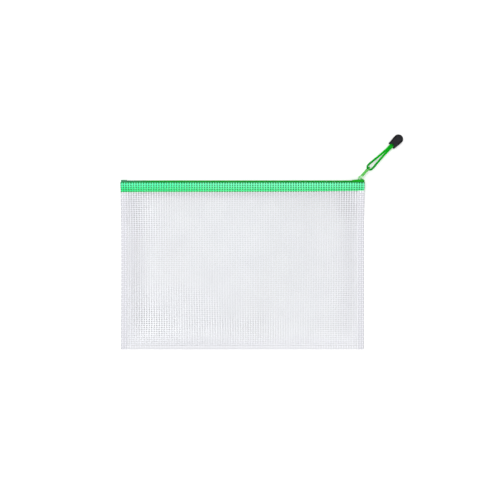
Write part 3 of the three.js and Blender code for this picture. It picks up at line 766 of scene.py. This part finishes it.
def turnedEnd(way, inside, outer, inner):  # a tape's end, turned in under the chain
    ys = np.linspace(pouch["hem"] + hemRise(outer), pouch["plain"], tape["hangSteps"])
    half = pouch["tape"] / 2
    fold = [
        (pouch["tapeTop"] - tape["fold"], pouch["zip"] + way * (tape["halfWidth"] - half)),
        (pouch["tapeTop"] - half, pouch["zip"] + way * (tape["halfWidth"] - tape["fold"])),
    ]
    atTape = [(y, float(inside(outer, y)) - way * (pouch["seat"] + half)) for y in ys] + fold
    atMiddle = [(y, float(seamHeight(y)) + way * flatHalfGap) for y in ys]
    top = pouch["zip"] + way * flatHalfGap
    atMiddle += [(pouch["sheetTop"] - tape["endTop"], top), (pouch["sheetTop"], top)]
    rings = [[(outer, *a), (outer, *b), (inner, *b), (inner, *a)] for a, b in zip(atTape, atMiddle)]
    return np.array(rings).reshape(-1, 3), plugFaces(np.array(rings))


def tapeMesh(name, way, inside):
    xs = np.linspace(-pouch["halfWidth"], pouch["halfWidth"], tape["along"])
    turns = np.linspace(0, math.pi / 2, tape["foldSteps"])
    foldReach = tape["halfWidth"] - tape["fold"]
    flats = np.linspace(tape["edge"], foldReach, tape["topSteps"], endpoint=False)
    corner = pouch["tapeTop"] - tape["fold"]

    def profile(x, depth):
        over = [(x, pouch["tapeTop"] - depth, pouch["zip"] + way * a) for a in flats]
        bend = []
        for t in turns:
            up, out = ((tape["fold"] - depth) * w for w in (math.cos(t), math.sin(t)))
            bend.append((x, corner + up, pouch["zip"] + way * (foldReach + out)))
        downs = np.linspace(pouch["plain"], pouch["hem"] + hemRise(x), tape["hangSteps"])
        hang = [(x, y, float(inside(x, y)) - way * (pouch["seat"] + depth)) for y in downs]
        return over + bend + hang

    rings = np.array([profile(x, 0) + profile(x, tape["thickness"])[::-1] for x in xs])
    parts = [(rings.reshape(-1, 3), slabFaces(rings))]
    outer = pouch["halfWidth"] - tape["endInset"]
    for end in (-1, 1):
        parts.append(turnedEnd(way, inside, end * outer, end * (outer - tape["thickness"])))
    return addMesh(name, *joined(parts), woven, "pouch", "tape")


woven = tapeShader()
frontTape = tapeMesh("front_zip_tape", 1, frontInside)
backTape = tapeMesh("back_zip_tape", -1, backInside)
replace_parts(frontTape, "front_tape")
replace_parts(backTape, "back_tape")
print("tapes ready")


# the coil rows, one long wound wire each, sewn on over a filler cord
coil = {
    "pitch": 1.5 * mm, "left": -161.1 * mm, "right": 168.8 * mm, "endRoom": 0.6 * mm, "seat": 115.7 * mm,
    "thickness": 2.3 * mm, "half": 2.9 * mm, "reach": 0.75 * mm, "wire": 0.64 * mm, "wireSides": 7, "steps": 22,
    "squareness": 0.75, "still": 0.22, "moving": 0.28,  # shares of a turn, each way from its head
    "spread": 1.5 * mm, "spreadStart": 159.3 * mm, "spreadEnd": 166.3 * mm,
    "nylon": seen(40, 200, 66, 0.72), "nylonDeep": seen(22, 168, 48, 0.72),
    "litLeft": seen(76, 176, 122, 0.8), "litLeftReach": (-160 * mm, -118 * mm),
    "stop": seen(58, 150, 104), "stopReach": (-161.5 * mm, -160.9 * mm),
    "cloud": 240, "nylonReach": (0.3, 0.7), "scratch": 3800, "rough": (0.3, 0.5), "relief": (0.02 * mm, 0.4),
}
stitch = {
    "thread": 0.26 * mm, "wide": 1.4, "sides": 6, "steps": 6, "lanes": (1.35 * mm, 2.25 * mm),
    "shake": 0.12 * mm, "lift": (0.1, 0.35), "filler": 0.9 * mm, "fillerLane": 1.5 * mm, "wind": 2.6 * mm,
    "bright": seen(48, 202, 76, 0.72), "deep": seen(24, 166, 50, 0.72), "brightReach": (0.2, 0.8),
    "twist": (0.3 * mm, 0.5 * mm), "fibre": 4200, "paintShares": (0.5, 0.5), "reliefShares": (0.6, 0.4),
    "rough": (0.6, 0.8), "relief": (0.05 * mm, 0.8),
}


def spread(x):  # how far the rows part where the slider stands
    return coil["spread"] * smooth((x - coil["spreadStart"]) / (coil["spreadEnd"] - coil["spreadStart"]))


def litLeftAndStop(s, x, paint):  # the chain's left end is painted lighter, a painted light, and its stop is dull
    litLeftEnd = s.tint(s.ramp(x, *coil["litLeftReach"]), coil["litLeft"], paint)
    return s.tint(s.ramp(x, *coil["stopReach"]), coil["stop"], litLeftEnd)


def coilShader():
    s = Shader("nylonCoil", Specular_IOR_Level=0.1)
    spot, x, _, _ = s.place()
    cloud = s.noise(spot, coil["cloud"], detail=3)
    scratch = s.noise(spot, coil["scratch"])
    paint = s.tint(s.ramp(cloud, *coil["nylonReach"]), coil["nylonDeep"], coil["nylon"])
    s.coat(litLeftAndStop(s, x, paint), mix(*coil["rough"], scratch), s.bump(scratch, *coil["relief"]))
    return s


def threadShader():
    s = Shader("sewingThread", Specular_IOR_Level=0.15, Sheen_Weight=0.04, Sheen_Roughness=0.4)
    spot, x, _, z = s.place()
    twistX, twistZ = (2 * math.pi / length for length in stitch["twist"])
    twist = (x * twistX + z * twistZ).maths("SINE") * 0.5 + 0.5
    fibre = s.noise(spot, stitch["fibre"])
    bright = s.ramp(blend(stitch["paintShares"], twist, fibre), *stitch["brightReach"])
    relief = s.bump(blend(stitch["reliefShares"], twist, fibre), *stitch["relief"])
    paint = litLeftAndStop(s, x, s.tint(bright, stitch["deep"], stitch["bright"]))
    s.coat(paint, mix(*stitch["rough"], fibre), relief)
    return s


def coilRow(side, way, offset):
    first = coil["left"] + coil["pitch"] / 2 + offset
    loops = int((coil["right"] - coil["endRoom"] - first) / coil["pitch"]) + 1

    def placed(x, height, across):
        return np.stack([x, height, pouch["zip"] + way * (across + spread(x))], -1)

    def wound(name, paths, section, towards, shader):
        return addMesh(f"{side}_{name}", *tubes(paths, section, towards), shader, "pouch", "coil")

    t = np.arange(loops * coil["steps"]) / coil["steps"]
    part = t - np.floor(t) - 0.5
    # the wire moves on to the next turn only along its back
    ahead = 0.5 * np.sign(part) * smooth((abs(part) - coil["still"]) / coil["moving"])
    turn = 2 * np.pi * (part + 0.5)
    c, s = squared(np.cos(turn), coil["squareness"]), squared(np.sin(turn), coil["squareness"])
    radius = coil["wire"] / 2
    reachIn, reachOut = -coil["reach"] + radius, coil["half"] - radius
    across = (reachOut + reachIn) / 2 + (reachOut - reachIn) / 2 * c
    height = coil["seat"] + coil["thickness"] / 2 - (coil["thickness"] / 2 - radius) * s
    path = placed(first + (np.floor(t) + ahead) * coil["pitch"], height, across)
    wire = oval(coil["wire"], coil["wire"], coil["wireSides"])
    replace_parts(wound("coil_wire", [path], wire, (1, 0, 0), nylon), f"{side}_coil")

    x = np.linspace(first - coil["pitch"] / 2, first + (loops - 0.5) * coil["pitch"], loops * stitch["steps"])
    sink, rise = stitch["lift"]
    wave = np.cos(2 * np.pi * (x - first) / coil["pitch"])
    height = coil["seat"] + coil["thickness"] + stitch["thread"] * (sink + rise * wave)
    shake = stitch["shake"] * np.sin(math.pi * (x - first) / coil["pitch"])
    runs = [placed(x, height, lane + shake) for lane in stitch["lanes"]]
    flatThread = oval(stitch["thread"] * stitch["wide"], stitch["thread"], stitch["sides"])
    wound("coil_stitching", runs, flatThread, (0, 1, 0), thread)

    plies = []
    for ply in (0, math.pi):
        wind = x * (2 * math.pi / stitch["wind"]) + ply
        height = coil["seat"] + coil["thickness"] / 2 + stitch["filler"] / 4 * np.cos(wind)
        plies.append(placed(x, height, stitch["fillerLane"] + stitch["filler"] / 4 * np.sin(wind)))
    roundPly = oval(stitch["filler"] / 2, stitch["filler"] / 2, stitch["sides"])
    wound("filler_cord", plies, roundPly, (0, 1, 0), thread)


nylon, thread = coilShader(), threadShader()
coilRow("front", 1, 0)
coilRow("back", -1, coil["pitch"] / 2)
print("coils ready")


# rigid metal and moulded parts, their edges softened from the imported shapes
metal = {
    "slider": seen(8, 186, 30, 0.85), "sliderDeep": seen(4, 160, 20, 0.85), "bail": seen(174, 240, 172, 0.8),
    "tab": seen(104, 208, 92, 0.85), "tabDeep": seen(88, 190, 78, 0.85), "bailHighlightReach": (120.4 * mm, 121.6 * mm),
    "tintReach": (3.2 * mm, 4.4 * mm), "cloud": 300, "orange": 1500, "edge": (0.52, 0.6),
    "cloudAndEdge": (0.6, 0.4), "brightReach": (0.2, 0.8), "rough": (0.3, 0.45), "relief": (0.03 * mm, 0.35),
    "tabFuller": 0.1 * mm, "voxel": 0.11 * mm, "stopVoxel": 0.14 * mm, "soften": 0.5, "passes": 3,
}


def paintShader(name, deep, bright):
    s = Shader(name, Specular_IOR_Level=0.08, Metallic=0.05)
    spot, x, y, _ = s.place()
    cloud = s.noise(spot, metal["cloud"], detail=3)
    orange = s.noise(spot, metal["orange"])
    edge = s.ramp(s.node("NewGeometry")["Pointiness"], *metal["edge"])
    paint = s.tint(s.ramp(blend(metal["cloudAndEdge"], cloud, edge), *metal["brightReach"]), deep, bright)
    if name == "sliderEnamel":  # the bail, and the tab round its window, are painted lighter: a painted highlight
        paint = s.tint(s.ramp(y, *metal["bailHighlightReach"]), paint, metal["bail"])
    else:
        paint = s.tint(s.ramp(distance(x, y, pull["bail"]), *metal["tintReach"]), metal["bail"], paint)
    s.coat(paint, mix(*metal["rough"], cloud), s.bump(orange, *metal["relief"]))
    return s


def rounded(node, name, shader, body, voxel, fuller=0.0):
    piece = newObject(name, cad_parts[node].data.copy())
    remesh = piece.modifiers.new("even", "REMESH")
    remesh.mode, remesh.voxel_size = "VOXEL", voxel
    if fuller:
        swell = piece.modifiers.new("swell", "DISPLACE")
        swell.mid_level, swell.strength = 0, fuller
    soften = piece.modifiers.new("soften", "SMOOTH")
    soften.factor, soften.iterations = metal["soften"], metal["passes"]
    evaluated = piece.evaluated_get(bpy.context.evaluated_depsgraph_get())
    final = bpy.data.meshes.new_from_object(evaluated)
    piece.modifiers.clear()
    piece.data = final
    final.name = name
    final.materials.clear()
    final.materials.append(shader.material)
    final.shade_smooth()
    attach(piece, body)
    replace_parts(piece, node)


sliderPaint = paintShader("sliderEnamel", metal["sliderDeep"], metal["slider"])
tabPaint = paintShader("tabEnamel", metal["tabDeep"], metal["tab"])
rounded("slider_body", "zip_slider", sliderPaint, "slider", metal["voxel"])
rounded("pull_tab", "zip_pull_tab", tabPaint, "tab", metal["voxel"], metal["tabFuller"])
for node in ("bottom_stop", "front_top_stop", "back_top_stop"):
    rounded(node, node + "_moulded", nylon, "pouch", metal["stopVoxel"])
print("slider, tab and stops ready")
